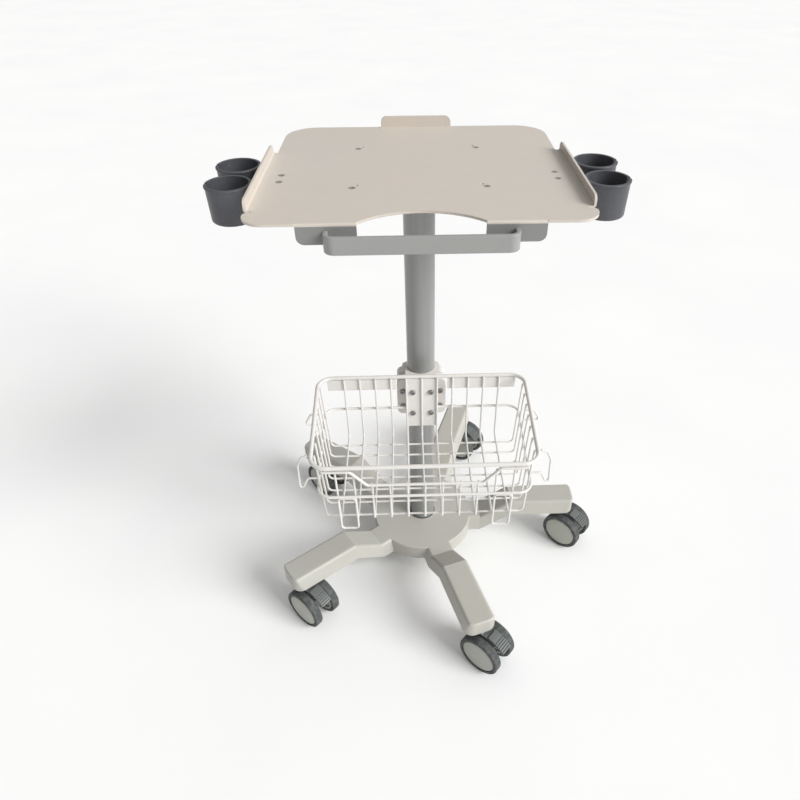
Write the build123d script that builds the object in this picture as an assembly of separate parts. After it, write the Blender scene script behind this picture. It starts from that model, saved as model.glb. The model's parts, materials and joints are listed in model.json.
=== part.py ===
from build123d import *
import os
from math import cos, radians, sin

# Rolling cart for a portable ultrasound scanner: a five-leg cast base on twin-wheel
# casters, a round column, a bent sheet-metal tray with a front handle and four probe
# cups, and a welded wire basket clamped to the column.
# Millimetres. +Z is up, the front of the cart faces -Y, and the origin is on the floor
# under the middle of the cart's outline. The casters all trail the same way, so the
# column stands a little off that middle. Every shape is modelled around the column's
# axis, and write() moves it to the column's place.

# ---- placing ----
COLUMN_X = -31.6
COLUMN_Y = 15.8

# ---- base ----
LEG_COUNT = 5
HUB_RADIUS = 94.0
HUB_TOP = 74.0
HUB_BOTTOM = 44.0
HUB_EDGE_ROUND = 2.0
HUB_BOSS_RADIUS = 24.5
HUB_BOSS_HEIGHT = 1.0
SOCKET_FLOOR = 50.0
LEG_TOP = 113.5
LEG_BOTTOM = 84.0
LEG_TOP_WIDTH = 46.0
LEG_BOTTOM_WIDTH = 56.0
LEG_EDGE_ROUND = 6.0
LEG_ROOT_RADIUS = 55.0
LEG_RISE_START = 112.0
LEG_RISE_END = 168.0
LEG_LENGTH = 292.0
LEG_END_ROUND = 17.0
STEM_CIRCLE_RADIUS = 270.0
STEM_PIN_RADIUS = 5.5
STEM_PIN_DEPTH = 20.0

# ---- casters ----
CASTER_HEADING = -41.1
CASTER_TRAIL = 24.0
CASTER_FLANGE_RADIUS = 15.0
CASTER_FLANGE_THICK = 1.8
SWIVEL_GAP = 0.2
WHEEL_RADIUS = 37.5
TYRE_INNER_RADIUS = 30.6
TYRE_EDGE_ROUND = 2.4
WHEEL_INNER_FACE = 12.6
WHEEL_OUTER_FACE = 27.8
COVER_EDGE_FACE = 27.0
COVER_DOME_FACE = 29.2
DISC_INNER_FACE = 13.0
AXLE_RADIUS = 4.0
AXLE_HALF_LENGTH = 24.0
AXLE_CLEARANCE = 0.05
WHEEL_BORE_DEPTH_FACE = 24.6
HOUSING_HALF_WIDTH = 11.4
HOUSING_OUTER_RADIUS = 40.6
HOUSING_BOSS_RADIUS = 13.5
SWIVEL_HEAD_RADIUS = 16.5
SWIVEL_HEAD_BOTTOM = 76.6
PEDAL_HALF_WIDTH = 10.8
PEDAL_ARC_DROP = 14.8
PEDAL_INNER_RADIUS = 54.2
PEDAL_OUTER_RADIUS = 58.0
PEDAL_START_ANGLE = 81.0
PEDAL_END_ANGLE = 45.5
PEDAL_SEAT_RADIUS = 39.6
PEDAL_PIVOT_RADIUS = 35.5
PEDAL_PIVOT_ANGLE = 78.0
PEDAL_PIN_RADIUS = 2.0
PEDAL_BOSS_RADIUS = 4.2
PEDAL_SLOT_HALF_WIDTH = 7.0
PEDAL_GROOVE_COUNT = 5
PEDAL_GROOVE_RADIUS = 1.1
PEDAL_GROOVE_RISE = 0.5
PEDAL_GROOVE_START_ANGLE = 49.0
PEDAL_GROOVE_PITCH_ANGLE = 4.3

# ---- column ----
COLUMN_RADIUS = 22.4
COLUMN_WALL = 2.4
COLUMN_TOP = 736.0

# ---- tray ----
SHEET = 3.0
TRAY_TOP = 744.0
TRAY_REAR_HALF_WIDTH = 196.0
TRAY_FRONT_HALF_WIDTH = 205.0
TRAY_BACK = 196.0
TRAY_FRONT = -172.0
TRAY_REAR_CORNER = 45.0
TRAY_FRONT_CORNER = 27.0
WING_BACK = -138.0
WING_BACK_CORNER = 6.0
CUT_OUT_HALF_WIDTH = 76.0
CUT_OUT_DEPTH = 33.0
CUT_OUT_SHOULDER = 9.0
LIP_HEIGHT = 12.5
LIP_FRONT = -133.0
LIP_BACK = 75.0
LIP_CORNER = 8.0
BEND_INNER_RADIUS = 2.0
REAR_TAB_HALF_WIDTH = 54.0
REAR_TAB_HEIGHT = 16.0
REAR_TAB_CORNER = 9.0
FLANGE_INNER_X = 73.0
FLANGE_OUTER_X = 142.0
FLANGE_DROP = 25.0
FLANGE_CORNER = 9.0
HEAD_SCREW_X = 84.0
HEAD_SCREW_REAR_Y = 89.0
HEAD_SCREW_FRONT_Y = -64.0
DEVICE_HOLE_X = 79.0
DEVICE_HOLE_REAR_Y = 97.0
DEVICE_HOLE_FRONT_Y = -56.0
DEVICE_HOLE_RADIUS = 2.25
BRACKET_SCREW_X = 178.0
BRACKET_SCREW_YS = (-16.0, -40.0)
SCREW_RADIUS = 2.5
SCREW_HEAD_RADIUS = 4.6
SCREW_HEAD_DEPTH = 2.2

# ---- tray support ----
HEAD_PLATE_THICK = 5.0
HEAD_PLATE_HALF_X = 96.0
HEAD_PLATE_FRONT = -74.0
HEAD_PLATE_BACK = 108.0
HEAD_PLATE_CORNER = 14.0
HEAD_COLLAR_RADIUS = 31.0
HEAD_COLLAR_BOTTOM = 708.0

# ---- handle ----
HANDLE_HALF_WIDTH = 111.0
HANDLE_REACH = 20.0
HANDLE_THICK = 5.5
HANDLE_BOTTOM = 714.5
HANDLE_HEIGHT = 21.5
HANDLE_CORNER = 13.0

# ---- probe cups ----
CUP_X = 240.5
CUP_FRONT_Y = -47.0
CUP_REAR_Y = 21.0
CUP_TOP = 746.0
CUP_BOTTOM = 699.0
CUP_TOP_RADIUS = 30.0
CUP_BOTTOM_RADIUS = 28.0
CUP_WALL = 3.2
CUP_FLOOR = 3.0
CUP_BEAD = 1.0
CUP_BEAD_HEIGHT = 3.0
CUP_FOOT_ROUND = 3.5
CUP_SLOT_WIDTH = 5.6
CUP_SLOT_BOTTOM = 705.0
CUP_PAD_HALF_WIDTH = 13.0
CUP_PAD_BOTTOM = 705.0
CUP_PAD_TOP = 737.0
BRACKET_FACE_X = 208.5
BRACKET_INNER_X = 168.0
BRACKET_BOTTOM = 700.0
BRACKET_FRONT_Y = -68.0
BRACKET_BACK_Y = 42.0
BRACKET_ARM_FRONT_Y = -52.0
BRACKET_ARM_BACK_Y = -4.0

# ---- basket ----
RIM_Z = 440.0
RIM_WIRE_RADIUS = 3.0
RIM_REAR_Y = -50.0
RIM_FRONT_Y = -248.5
RIM_REAR_HALF = 160.5
RIM_FRONT_HALF = 152.5
RIM_CORNER = 23.0
RING_CORNER = 20.0
GRID_WIRE_RADIUS = 1.5
RING_WIRE_RADIUS = 2.0
RING_Z = 379.0
FLOOR_Z = 320.0
FLOOR_TAPER_SIDE = 6.0
FLOOR_TAPER_FRONT = 8.5
GRID_JOIN_Z = 336.0
WELD_GAP = 0.04
LONG_PITCH = 24.2
LONG_SIDE_COUNT = 5
CROSS_PITCH = 24.8
CROSS_COUNT = 7
LONG_BEND = 9.0
CROSS_BEND = 8.0
DIP_HALF_BOTTOM = 79.0
DIP_HALF_TOP = 101.0
DIP_LOW_Z = 403.0
DIP_HIGH_Z = 431.0
DIP_HALF_END = 138.0
DIP_BEND = 8.0
FOOT_TOP = 375.0
FOOT_BOTTOM = 308.0
FOOT_BEND = 5.0
RAIL_INNER_X = 40.5
RAIL_OUTER_X = 147.0
RAIL_BOTTOM = 418.0
RAIL_THICK = 2.0

# ---- column clamp ----
CLAMP_BOTTOM = 340.0
CLAMP_TOP = 411.0
CLAMP_HALF_WIDTH = 40.0
CLAMP_EAR_DEPTH = 19.0
CLAMP_SPLIT = 0.8
CLAMP_CORNER = 10.0
CLAMP_BOSS_HALF_WIDTH = 25.5
CLAMP_BOSS_BOTTOM = 345.0
CLAMP_BOSS_TOP = 425.0
CLAMP_REAR_HALF_WIDTH = 31.0
CLAMP_REAR_DEPTH = 33.0
CLAMP_SCREW_X = 31.0
CLAMP_SCREW_ZS = (357.0, 387.0)
CLAMP_SCREW_LENGTH = 34.0
PLATE_THICK = 3.0
PLATE_BOTTOM = 341.0
PLATE_CORNER = 3.0
PLATE_SCREW_X = 14.5
PLATE_SCREW_ZS = (369.0, 411.0)
PLATE_SCREW_LENGTH = 14.0
PAN_HEAD_RADIUS = 4.5
PAN_HEAD_HEIGHT = 2.6

AXLE_Z = WHEEL_RADIUS
SHEET_BOTTOM = TRAY_TOP - SHEET
GRID_INSET = RIM_WIRE_RADIUS + GRID_WIRE_RADIUS
RING_INSET = GRID_INSET - GRID_WIRE_RADIUS - RING_WIRE_RADIUS - WELD_GAP
REAR_GRID_Y = RIM_REAR_Y - GRID_INSET
PLATE_FRONT_Y = REAR_GRID_Y + GRID_WIRE_RADIUS
PLATE_REAR_Y = PLATE_FRONT_Y + PLATE_THICK
PLATE_TOP = RIM_Z - RIM_WIRE_RADIUS - 0.1

os.makedirs("parts", exist_ok=True)


def write(name, *solids):
    """Writes one node: a single solid, or a group of separate ones."""
    placed = [Pos(COLUMN_X, COLUMN_Y, 0) * solid for solid in solids]
    shape = placed[0] if len(placed) == 1 else Compound(children=placed)
    shape.label = name
    export_step(shape, f"parts/{name}.step")


def block(x0, x1, y0, y1, z0, z1):
    """An upright box between two corners."""
    return Pos((x0 + x1) / 2, (y0 + y1) / 2, (z0 + z1) / 2) * Box(x1 - x0, y1 - y0, z1 - z0)


def upright(radius, z0, z1, x=0.0, y=0.0):
    """A cylinder along Z from z0 to z1."""
    return Pos(x, y, (z0 + z1) / 2) * Cylinder(radius, z1 - z0)


def along_y(radius, y0, y1, x=0.0, z=0.0):
    """A cylinder along Y from y0 to y1."""
    return Pos(x, (y0 + y1) / 2, z) * Rot(90, 0, 0) * Cylinder(radius, y1 - y0)


def wire_sweep(points, radius, bend=None):
    """A round wire along a path of straight runs, with its corners bent."""
    path = FilletPolyline(*points, radius=bend) if bend else Polyline(*points)
    start = Plane(origin=path @ 0, z_dir=path % 0)
    return sweep(start * Circle(radius), path=path)


def closed_wire(path, radius):
    """A round wire along a closed path."""
    start = Plane(origin=path @ 0, z_dir=path % 0)
    return sweep(start * Circle(radius), path=path)


def countersunk_screw(x, y, top, length):
    """A flat-head screw, its head flush with the surface at top."""
    middle = top - SCREW_HEAD_DEPTH / 2
    head = Pos(x, y, middle) * Cone(SCREW_RADIUS, SCREW_HEAD_RADIUS, SCREW_HEAD_DEPTH)
    shank = upright(SCREW_RADIUS, top - length, top - SCREW_HEAD_DEPTH, x, y)
    socket = Pos(x, y, top - 0.8) * extrude(RegularPolygon(1.9, 6), 1.0)
    return head + shank - socket


def pan_screw_y(x, z, face_y, length):
    """A socket screw driven along +Y, its head standing in front of face_y."""
    head = along_y(PAN_HEAD_RADIUS, face_y - PAN_HEAD_HEIGHT, face_y, x, z)
    head = fillet(head.edges().sort_by(Axis.Y)[0], 1.0)
    shank = along_y(SCREW_RADIUS, face_y, face_y + length, x, z)
    socket = Pos(x, face_y - PAN_HEAD_HEIGHT, z) * Rot(-90, 0, 0) * extrude(RegularPolygon(2.0, 6), 1.4)
    return head + shank - socket


# ================================ base ================================

def leg_section(along, top, bottom):
    """A leg's cross-section: sloping sides and rounded top edges."""
    plane = Plane(origin=(along, 0, 0), x_dir=(0, 1, 0), z_dir=(1, 0, 0))
    outline = Polygon(
        (-LEG_BOTTOM_WIDTH / 2, bottom),
        (LEG_BOTTOM_WIDTH / 2, bottom),
        (LEG_TOP_WIDTH / 2, top),
        (-LEG_TOP_WIDTH / 2, top),
        align=None,
    )
    corners = outline.vertices().sort_by(Axis.Y)[-2:]
    return plane * fillet(corners, LEG_EDGE_ROUND)


def star_leg():
    """One leg along +X: level at the hub, rising, then level to its rounded end."""
    stations = (
        (LEG_ROOT_RADIUS, HUB_TOP, HUB_BOTTOM),
        (LEG_RISE_START, HUB_TOP, HUB_BOTTOM),
        (LEG_RISE_END, LEG_TOP, LEG_BOTTOM),
        (LEG_LENGTH, LEG_TOP, LEG_BOTTOM),
    )
    sections = [leg_section(*station) for station in stations]
    spans = [loft([near, far], ruled=True) for near, far in zip(sections, sections[1:])]
    beam = spans[0] + spans[1] + spans[2]
    reach = LEG_LENGTH - LEG_ROOT_RADIUS
    plan = RectangleRounded(reach, LEG_BOTTOM_WIDTH + 0.2, LEG_END_ROUND)
    plan += Pos(-reach / 4, 0) * Rectangle(reach / 2, LEG_BOTTOM_WIDTH + 2)
    beam &= Pos(LEG_ROOT_RADIUS + reach / 2, 0) * extrude(plan, LEG_TOP + 10)
    end_edges = [
        e for e in beam.edges() if e.center().Z > LEG_TOP - 1 and e.center().X > LEG_LENGTH - 8
    ]
    return fillet(end_edges, LEG_EDGE_ROUND - 2.5)


def base_star():
    hub = upright(HUB_RADIUS, HUB_BOTTOM, HUB_TOP)
    hub = fillet(hub.edges().group_by(Axis.Z)[-1], HUB_EDGE_ROUND)
    hub += upright(HUB_BOSS_RADIUS, HUB_TOP - 1, HUB_TOP + HUB_BOSS_HEIGHT)
    leg = star_leg()
    leg -= upright(STEM_PIN_RADIUS, LEG_BOTTOM - 1, LEG_BOTTOM + STEM_PIN_DEPTH, STEM_CIRCLE_RADIUS)
    star = hub
    for i in range(LEG_COUNT):
        star += Rot(0, 0, i * 360 / LEG_COUNT) * leg
    return star - upright(COLUMN_RADIUS, SOCKET_FLOOR, HUB_TOP + 10)


# =============================== casters ===============================

def caster_stem():
    """The fixed swivel stem: a flange under the leg, a pin above and one below."""
    flange = upright(CASTER_FLANGE_RADIUS, LEG_BOTTOM - CASTER_FLANGE_THICK, LEG_BOTTOM)
    pin_up = upright(STEM_PIN_RADIUS, LEG_BOTTOM, LEG_BOTTOM + STEM_PIN_DEPTH)
    pin_down = upright(STEM_PIN_RADIUS, housing_top() - 18, LEG_BOTTOM)
    return flange + pin_up + pin_down


def housing_top():
    return LEG_BOTTOM - CASTER_FLANGE_THICK - SWIVEL_GAP


def side_profile(points, half_width):
    """A plate standing in the XZ plane, centred on Y = 0."""
    outline = Polygon(*points, align=None)
    return extrude(Plane.XZ * outline, half_width, both=True)


def on_wheel(radius, angle):
    """A point around the axle, the angle counted up from the trailing direction."""
    return (CASTER_TRAIL + radius * cos(radians(angle)), AXLE_Z + radius * sin(radians(angle)))


def caster_housing():
    """The body between the wheels: axle boss, arched neck and round swivel head."""
    axle = (CASTER_TRAIL, AXLE_Z)
    boss = along_y(HOUSING_BOSS_RADIUS, -HOUSING_HALF_WIDTH, HOUSING_HALF_WIDTH, *axle)
    top = housing_top()
    neck = side_profile(
        [
            (-SWIVEL_HEAD_RADIUS + 1, top),
            (-SWIVEL_HEAD_RADIUS + 1, top - 22),
            (CASTER_TRAIL - 13, AXLE_Z),
            (CASTER_TRAIL + 8, AXLE_Z + 8),
            on_wheel(HOUSING_OUTER_RADIUS - 13, 52),
            on_wheel(HOUSING_OUTER_RADIUS - 3, 56),
            on_wheel(HOUSING_OUTER_RADIUS, PEDAL_START_ANGLE),
            on_wheel(HOUSING_OUTER_RADIUS, 96),
            (SWIVEL_HEAD_RADIUS - 2, top),
        ],
        HOUSING_HALF_WIDTH,
    )
    head = upright(SWIVEL_HEAD_RADIUS, SWIVEL_HEAD_BOTTOM, top)
    head = fillet(head.edges().group_by(Axis.Z)[-1], 1.2)
    body = boss + neck + head
    body -= pedal_slot()
    body -= upright(STEM_PIN_RADIUS + AXLE_CLEARANCE, top - 18.5, top + 1)
    body -= along_y(AXLE_RADIUS, -HOUSING_HALF_WIDTH - 1, HOUSING_HALF_WIDTH + 1, *axle)
    pin = on_wheel(PEDAL_PIVOT_RADIUS, PEDAL_PIVOT_ANGLE)
    pin_half = PEDAL_SLOT_HALF_WIDTH + 0.5
    return body + along_y(PEDAL_PIN_RADIUS, -pin_half, pin_half, *pin)


def pedal_slot():
    """The pocket in the housing where the pedal's arm swings, and the seat over it."""
    pin = on_wheel(PEDAL_PIVOT_RADIUS, PEDAL_PIVOT_ANGLE)
    pocket = along_y(PEDAL_BOSS_RADIUS + 0.8, -PEDAL_SLOT_HALF_WIDTH, PEDAL_SLOT_HALF_WIDTH, *pin)
    pocket += side_profile(
        [
            on_wheel(PEDAL_PIVOT_RADIUS - 5, PEDAL_PIVOT_ANGLE),
            on_wheel(PEDAL_PIVOT_RADIUS - 10, 45),
            on_wheel(PEDAL_SEAT_RADIUS + 10, 45),
            on_wheel(PEDAL_SEAT_RADIUS + 10, PEDAL_START_ANGLE + 1),
        ],
        PEDAL_SLOT_HALF_WIDTH,
    )
    seat = side_profile(
        [
            on_wheel(PEDAL_SEAT_RADIUS - 2.2, PEDAL_START_ANGLE + 2),
            on_wheel(PEDAL_SEAT_RADIUS - 3.4, 66),
            on_wheel(PEDAL_SEAT_RADIUS - 6.2, 50),
            on_wheel(PEDAL_SEAT_RADIUS + 10, 50),
            on_wheel(PEDAL_SEAT_RADIUS + 13, 66),
            on_wheel(PEDAL_SEAT_RADIUS + 10, PEDAL_START_ANGLE + 2),
        ],
        HOUSING_HALF_WIDTH + 1,
    )
    return pocket + seat


def on_pad(radius, angle):
    """A point around the centre of the pedal pad's arc, which lies below the axle."""
    x, z = on_wheel(-PEDAL_ARC_DROP, PEDAL_START_ANGLE)
    return (x + radius * cos(radians(angle)), z + radius * sin(radians(angle)))


def pedal():
    """The brake pedal: a curved, grooved pad with an arm to its hinge pin."""
    wide = PEDAL_HALF_WIDTH
    centre = on_pad(0, 0)
    shell = along_y(PEDAL_OUTER_RADIUS, -wide, wide, *centre)
    shell -= along_y(PEDAL_INNER_RADIUS, -wide - 1, wide + 1, *centre)
    wedge = side_profile(
        [
            centre,
            on_pad(90, PEDAL_END_ANGLE),
            on_pad(100, (PEDAL_START_ANGLE + PEDAL_END_ANGLE) / 2),
            on_pad(90, PEDAL_START_ANGLE),
        ],
        wide + 1,
    )
    pad = shell & wedge
    curved_edges = pad.edges().filter_by(GeomType.CIRCLE)
    pad = fillet([e for e in curved_edges if e.radius > PEDAL_OUTER_RADIUS - 0.1], 1.2)
    for k in range(PEDAL_GROOVE_COUNT):
        angle = PEDAL_GROOVE_START_ANGLE + k * PEDAL_GROOVE_PITCH_ANGLE
        x, z = on_pad(PEDAL_OUTER_RADIUS - PEDAL_GROOVE_RISE, angle)
        pad -= along_y(PEDAL_GROOVE_RADIUS, -wide - 1, wide + 1, x, z)
    pin = on_wheel(PEDAL_PIVOT_RADIUS, PEDAL_PIVOT_ANGLE)
    half = PEDAL_SLOT_HALF_WIDTH - 0.4
    arm = along_y(PEDAL_BOSS_RADIUS, -half, half, *pin)
    arm += side_profile(
        [
            on_wheel(PEDAL_PIVOT_RADIUS - 3.5, PEDAL_PIVOT_ANGLE - 2),
            on_wheel(PEDAL_SEAT_RADIUS - 3, 60),
            on_pad(PEDAL_INNER_RADIUS + 1, 63),
            on_pad(PEDAL_INNER_RADIUS + 1, 75),
        ],
        half,
    )
    return pad + arm - along_y(PEDAL_PIN_RADIUS + AXLE_CLEARANCE, -half - 1, half + 1, *pin)


def laid_on_axle(solid, side):
    """Turns a wheel's solid from +Z to the axle; side +1 or -1 says which wheel."""
    lay_down = Rot(-90, 0, 0) if side > 0 else Rot(90, 0, 0)
    return Pos(CASTER_TRAIL, 0, AXLE_Z) * lay_down * solid


def tyre(side):
    inner, outer = WHEEL_INNER_FACE, WHEEL_OUTER_FACE
    centre = Pos((TYRE_INNER_RADIUS + WHEEL_RADIUS) / 2, (inner + outer) / 2)
    profile = centre * Rectangle(WHEEL_RADIUS - TYRE_INNER_RADIUS, outer - inner)
    profile = fillet(profile.vertices().group_by(Axis.X)[-1], TYRE_EDGE_ROUND)
    return laid_on_axle(revolve(Plane.XZ * profile, Axis.Z), side)


def wheel_disc(side):
    """The hard wheel centre with its domed cover on the outer face."""
    rise = COVER_DOME_FACE - COVER_EDGE_FACE
    dome_radius = (TYRE_INNER_RADIUS**2 + rise**2) / (2 * rise)
    disc = upright(TYRE_INNER_RADIUS, DISC_INNER_FACE, COVER_DOME_FACE + 1)
    disc &= Pos(0, 0, COVER_DOME_FACE - dome_radius) * Sphere(dome_radius)
    disc -= upright(AXLE_RADIUS + AXLE_CLEARANCE, DISC_INNER_FACE - 1, WHEEL_BORE_DEPTH_FACE)
    return laid_on_axle(disc, side)


def axle():
    return along_y(AXLE_RADIUS, -AXLE_HALF_LENGTH, AXLE_HALF_LENGTH, CASTER_TRAIL, AXLE_Z)


def caster_place(i):
    """Caster i stands under the end of leg i, all five trailing the same way."""
    turn = radians(i * 360 / LEG_COUNT)
    x = STEM_CIRCLE_RADIUS * cos(turn)
    y = STEM_CIRCLE_RADIUS * sin(turn)
    return Pos(x, y, 0) * Rot(0, 0, CASTER_HEADING)


def write_casters():
    housing = caster_housing()
    brake = pedal()
    stems = []
    for i in range(LEG_COUNT):
        place = caster_place(i)
        number = i + 1
        stems.append(place * caster_stem())
        write(f"caster_{number}_housing", place * housing)
        write(f"caster_{number}_axle", place * axle())
        write(f"caster_{number}_pedal", place * brake)
        for letter, side in (("a", -1), ("b", 1)):
            write(f"caster_{number}_tyre_{letter}", place * tyre(side))
            write(f"caster_{number}_disc_{letter}", place * wheel_disc(side))
    write("caster_stems", *stems)


# ================================ tray ================================

def mirrored(shape):
    return shape + mirror(shape, Plane.YZ)


def tray_outline():
    """The flat sheet seen from above, with its curved front cut-out."""
    depth = TRAY_BACK - TRAY_FRONT
    sheet = Pos(0, (TRAY_BACK + TRAY_FRONT) / 2) * Rectangle(2 * TRAY_REAR_HALF_WIDTH, depth)
    sheet = fillet(sheet.vertices().group_by(Axis.Y)[-1], TRAY_REAR_CORNER)
    wing_depth = WING_BACK - TRAY_FRONT
    wing = Pos(0, (WING_BACK + TRAY_FRONT) / 2) * Rectangle(2 * TRAY_FRONT_HALF_WIDTH, wing_depth)
    wing = fillet(wing.vertices().group_by(Axis.Y)[0], TRAY_FRONT_CORNER)
    wing = fillet(wing.vertices().group_by(Axis.Y)[-1], WING_BACK_CORNER)
    corner = Pos(0, TRAY_FRONT + TRAY_FRONT_CORNER / 2)
    strip = corner * Rectangle(2 * (TRAY_FRONT_HALF_WIDTH - TRAY_FRONT_CORNER), TRAY_FRONT_CORNER)
    body = sheet & (Pos(0, TRAY_FRONT + TRAY_FRONT_CORNER + depth / 2) * Rectangle(500, depth))
    radius = (CUT_OUT_HALF_WIDTH**2 + CUT_OUT_DEPTH**2) / (2 * CUT_OUT_DEPTH)
    cut = Pos(0, TRAY_FRONT + CUT_OUT_DEPTH - radius) * Circle(radius)
    outline = body + wing + strip - cut
    tips = [
        v
        for v in outline.vertices()
        if abs(v.Y - TRAY_FRONT) < 0.5 and abs(abs(v.X) - CUT_OUT_HALF_WIDTH) < 2
    ]
    return fillet(tips, CUT_OUT_SHOULDER)


def side_lip():
    """The upturned edge on the +X side, bent up from the sheet."""
    outer = TRAY_FRONT_HALF_WIDTH
    inner = outer - SHEET
    profile = Polyline(
        (TRAY_REAR_HALF_WIDTH - 6, SHEET_BOTTOM),
        (outer, SHEET_BOTTOM),
        (outer, TRAY_TOP + LIP_HEIGHT),
        (inner, TRAY_TOP + LIP_HEIGHT),
        (inner, TRAY_TOP),
        (TRAY_REAR_HALF_WIDTH - 6, TRAY_TOP),
        close=True,
    )
    face = Plane.XZ * make_face(profile)
    lip = Pos(0, LIP_BACK, 0) * extrude(face, LIP_BACK - LIP_FRONT)
    inner_bend = [
        e
        for e in lip.edges().filter_by(Axis.Y)
        if abs(e.center().X - inner) < 0.1 and abs(e.center().Z - TRAY_TOP) < 0.1
    ]
    lip = fillet(inner_bend, BEND_INNER_RADIUS)
    outer_bend = [
        e
        for e in lip.edges().filter_by(Axis.Y)
        if abs(e.center().X - outer) < 0.1 and e.center().Z < TRAY_TOP - 1
    ]
    lip = fillet(outer_bend, BEND_INNER_RADIUS + SHEET - 0.5)
    across = lip.edges().filter_by(Axis.X)
    return fillet([e for e in across if e.center().Z > TRAY_TOP + LIP_HEIGHT - 1], LIP_CORNER)


def rear_tab():
    """The upturned stop at the middle of the back edge."""
    half, top = REAR_TAB_HALF_WIDTH, TRAY_TOP + REAR_TAB_HEIGHT
    tab = block(-half, half, TRAY_BACK - SHEET, TRAY_BACK, SHEET_BOTTOM, top)
    corners = [e for e in tab.edges().filter_by(Axis.Y) if e.center().Z > TRAY_TOP + 1]
    tab = fillet(corners, REAR_TAB_CORNER)
    low_back = [
        e
        for e in tab.edges().filter_by(Axis.X)
        if e.center().Z < SHEET_BOTTOM + 0.1 and e.center().Y > TRAY_BACK - 0.1
    ]
    return fillet(low_back, SHEET - 0.6)


def front_flange():
    """The downturned front edge on the +X side."""
    low = TRAY_TOP - FLANGE_DROP
    flange = block(FLANGE_INNER_X, FLANGE_OUTER_X, TRAY_FRONT, TRAY_FRONT + SHEET, low, TRAY_TOP)
    corners = [e for e in flange.edges().filter_by(Axis.Y) if e.center().Z < low + 1]
    flange = fillet(corners, FLANGE_CORNER)
    bend = [
        e
        for e in flange.edges().filter_by(Axis.X)
        if e.center().Z > TRAY_TOP - 0.1 and e.center().Y < TRAY_FRONT + 0.1
    ]
    return fillet(bend, SHEET - 0.6)


def tray_plate():
    sheet = Pos(0, 0, SHEET_BOTTOM) * extrude(tray_outline(), SHEET)
    # The sheet rolls over into each flange, so its own square edge gives way there.
    for side in (-1, 1):
        x0, x1 = sorted((side * FLANGE_INNER_X, side * FLANGE_OUTER_X))
        sheet -= block(x0, x1, TRAY_FRONT - 1, TRAY_FRONT + SHEET, SHEET_BOTTOM - 1, TRAY_TOP + 1)
    tray = sheet + mirrored(side_lip()) + rear_tab() + mirrored(front_flange())
    for x in (-1, 1):
        for y in (HEAD_SCREW_REAR_Y, HEAD_SCREW_FRONT_Y):
            tray -= screw_seat(x * HEAD_SCREW_X, y)
        for y in BRACKET_SCREW_YS:
            tray -= screw_seat(x * BRACKET_SCREW_X, y)
        for y in (DEVICE_HOLE_REAR_Y, DEVICE_HOLE_FRONT_Y):
            tray -= upright(DEVICE_HOLE_RADIUS, SHEET_BOTTOM - 1, TRAY_TOP + 1, x * DEVICE_HOLE_X, y)
    return tray


def screw_seat(x, y):
    """A countersunk hole through the tray sheet."""
    middle = TRAY_TOP - SCREW_HEAD_DEPTH / 2
    seat = Pos(x, y, middle) * Cone(SCREW_RADIUS, SCREW_HEAD_RADIUS, SCREW_HEAD_DEPTH)
    return seat + upright(SCREW_RADIUS, SHEET_BOTTOM - 20, TRAY_TOP - SCREW_HEAD_DEPTH + 0.1, x, y)


def tray_screws():
    length = SHEET + HEAD_PLATE_THICK
    screws = []
    for x in (-1, 1):
        for y in (HEAD_SCREW_REAR_Y, HEAD_SCREW_FRONT_Y):
            screws.append(countersunk_screw(x * HEAD_SCREW_X, y, TRAY_TOP, length))
        for y in BRACKET_SCREW_YS:
            screws.append(countersunk_screw(x * BRACKET_SCREW_X, y, TRAY_TOP, length))
    return screws


def head_plate():
    """The support under the tray: a plate with a collar over the column's top."""
    low = SHEET_BOTTOM - HEAD_PLATE_THICK
    mid_y = (HEAD_PLATE_FRONT + HEAD_PLATE_BACK) / 2
    outline = Pos(0, mid_y) * RectangleRounded(
        2 * HEAD_PLATE_HALF_X, HEAD_PLATE_BACK - HEAD_PLATE_FRONT, HEAD_PLATE_CORNER
    )
    plate = Pos(0, 0, low) * extrude(outline, HEAD_PLATE_THICK)
    plate += upright(HEAD_COLLAR_RADIUS, HEAD_COLLAR_BOTTOM, low)
    plate -= upright(COLUMN_RADIUS, HEAD_COLLAR_BOTTOM - 1, COLUMN_TOP)
    for x in (-1, 1):
        for y in (HEAD_SCREW_REAR_Y, HEAD_SCREW_FRONT_Y):
            plate -= upright(SCREW_RADIUS, low - 1, SHEET_BOTTOM + 1, x * HEAD_SCREW_X, y)
        for y in (DEVICE_HOLE_REAR_Y, DEVICE_HOLE_FRONT_Y):
            plate -= upright(DEVICE_HOLE_RADIUS + 1, low - 1, SHEET_BOTTOM + 1, x * DEVICE_HOLE_X, y)
    return plate


def handle_bar():
    """A flat bar bent into a wide U, its two ends against the tray's front flanges."""
    front = TRAY_FRONT - HANDLE_REACH
    outer = Pos(0, TRAY_FRONT) * Rectangle(2 * HANDLE_HALF_WIDTH, 2 * HANDLE_REACH)
    outer = fillet(outer.vertices(), HANDLE_CORNER)
    inner_half = HANDLE_HALF_WIDTH - HANDLE_THICK
    hole = Pos(0, TRAY_FRONT) * Rectangle(2 * inner_half, 2 * (HANDLE_REACH - HANDLE_THICK))
    hole = fillet(hole.vertices(), HANDLE_CORNER - HANDLE_THICK)
    loop = outer - hole
    half_plane = Pos(0, front + HANDLE_REACH / 2) * Rectangle(2 * HANDLE_HALF_WIDTH + 2, HANDLE_REACH)
    bar = Pos(0, 0, HANDLE_BOTTOM) * extrude(loop & half_plane, HANDLE_HEIGHT)
    top_and_bottom = bar.edges().group_by(Axis.Z)[0] + bar.edges().group_by(Axis.Z)[-1]
    return fillet([e for e in top_and_bottom if e.center().Y < TRAY_FRONT - 0.5], 1.4)


# ============================= probe cups =============================

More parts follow.
